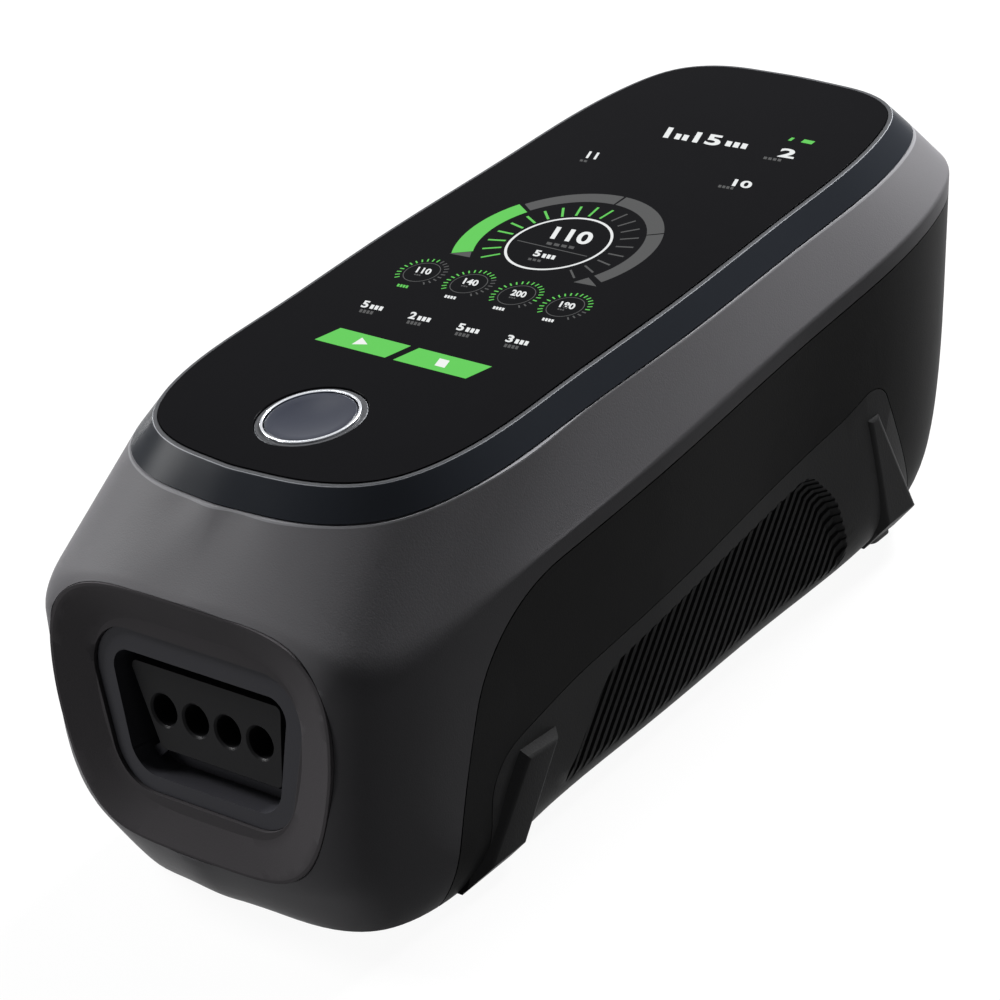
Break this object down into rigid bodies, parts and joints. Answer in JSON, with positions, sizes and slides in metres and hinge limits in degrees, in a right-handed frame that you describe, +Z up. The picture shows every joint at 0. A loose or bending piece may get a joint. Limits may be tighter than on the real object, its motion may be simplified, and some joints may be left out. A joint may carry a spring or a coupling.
{
  "type": "compression therapy pump",
  "caption": "Table-top air pump for a compression garment: long barrel-shaped case with a touch screen and home button on top, ribbed side grips on legs and a four-port hose socket in the nose.",
  "frame": {"origin": "at floor level under the centre of the pump's overall length and width", "axes": "+Z up; +Y towards the tail, away from the hose socket; +X to the right of someone who faces the hose socket"},
  "size_m": [0.1138, 0.2467, 0.0998],
  "materials": {
    "screen_glass": "gloss",
    "gloss_black": "gloss",
    "cover_plastic": "satin",
    "housing_plastic": "matte",
    "panel_plastic": "matte",
    "socket_plastic": "satin",
    "manifold_plastic": "satin",
    "grip_rubber": "matte",
    "foot_rubber": "matte",
    "button_metal": "polished",
    "button_cap": "gloss",
    "frame_plastic": "satin",
    "display_glass": "gloss",
    "screw_steel": "brushed",
    "spring_steel": "brushed",
    "motor_steel": "brushed",
    "valve_plastic": "satin",
    "coil_tape": "gloss",
    "circuit_board": "gloss",
    "chip_plastic": "matte",
    "silicone_tube": "satin",
    "pump_plastic": "satin",
    "foam": "matte",
    "cell_wrap": "gloss",
    "ribbon": "satin"
  },
  "bodies": {
    "pump": {"touch_glass": "screen_glass", "glass_bezel": "gloss_black", "display_panel": "display_glass", "display_frame": "frame_plastic", "home_button_ring": "gloss_black", "home_button_trim": "button_metal", "home_button_spring": "spring_steel", "home_switch": "chip_plastic", "button_board": "circuit_board", "top_cover": "cover_plastic", "lower_housing": "housing_plastic", "base_plate": "housing_plastic", "base_screws": "screw_steel", "case_screws": "screw_steel", "side_grip_right": "grip_rubber", "side_grip_left": "grip_rubber", "foot_pads": "foot_rubber", "nose_panel": "panel_plastic", "hose_socket": "socket_plastic", "hose_manifold": "manifold_plastic", "zone_tubes": "silicone_tube", "valve_block": "valve_plastic", "valve_coils": "coil_tape", "valve_screws": "screw_steel", "sensor_board": "circuit_board", "pressure_sensors": "chip_plastic", "motor_can": "motor_steel", "pump_body": "pump_plastic", "pump_diaphragm": "foot_rubber", "pump_head": "pump_plastic", "pump_cradle": "frame_plastic", "isolators": "foot_rubber", "cradle_screws": "screw_steel", "supply_tube": "silicone_tube", "intake_filter": "foam", "main_board": "circuit_board", "board_components": "chip_plastic", "board_screws": "screw_steel", "ribbon_cable": "ribbon", "battery_cells": "cell_wrap", "battery_tray": "frame_plastic", "battery_strap": "pump_plastic", "charge_inlet": "pump_plastic", "charge_nut": "motor_steel", "valve_spring_1": "spring_steel", "valve_spring_2": "spring_steel", "valve_spring_3": "spring_steel", "valve_spring_4": "spring_steel"},
    "home_button_body": {"home_button": "button_cap"},
    "pump_rotor_body": {"pump_rotor": "motor_steel"},
    "valve_plunger_1_body": {"valve_plunger_1": "motor_steel"},
    "valve_plunger_2_body": {"valve_plunger_2": "motor_steel"},
    "valve_plunger_3_body": {"valve_plunger_3": "motor_steel"},
    "valve_plunger_4_body": {"valve_plunger_4": "motor_steel"}
  },
  "joints": [
    {"name": "home_button_press", "type": "slide", "parent": "pump", "child": "home_button_body", "axis": [0, 0, 1], "range_m": [-0.0008, 0], "stiffness_N_per_m": 1500, "springref_m": 0.0004, "deforming": ["home_button_spring"]},
    {"name": "pump_rotor_spin", "type": "hinge", "parent": "pump", "child": "pump_rotor_body", "pos_m": [0, 0.015, 0.05], "axis": [0, 1, 0], "continuous": true},
    {"name": "valve_1_lift", "type": "slide", "parent": "pump", "child": "valve_plunger_1_body", "axis": [0, 0, 1], "range_m": [0, 0.0012], "stiffness_N_per_m": 400, "springref_m": -0.0015, "deforming": ["valve_spring_1"]},
    {"name": "valve_2_lift", "type": "slide", "parent": "pump", "child": "valve_plunger_2_body", "axis": [0, 0, 1], "range_m": [0, 0.0012], "stiffness_N_per_m": 400, "springref_m": -0.0015, "deforming": ["valve_spring_2"]},
    {"name": "valve_3_lift", "type": "slide", "parent": "pump", "child": "valve_plunger_3_body", "axis": [0, 0, 1], "range_m": [0, 0.0012], "stiffness_N_per_m": 400, "springref_m": -0.0015, "deforming": ["valve_spring_3"]},
    {"name": "valve_4_lift", "type": "slide", "parent": "pump", "child": "valve_plunger_4_body", "axis": [0, 0, 1], "range_m": [0, 0.0012], "stiffness_N_per_m": 400, "springref_m": -0.0015, "deforming": ["valve_spring_4"]}
  ]
}
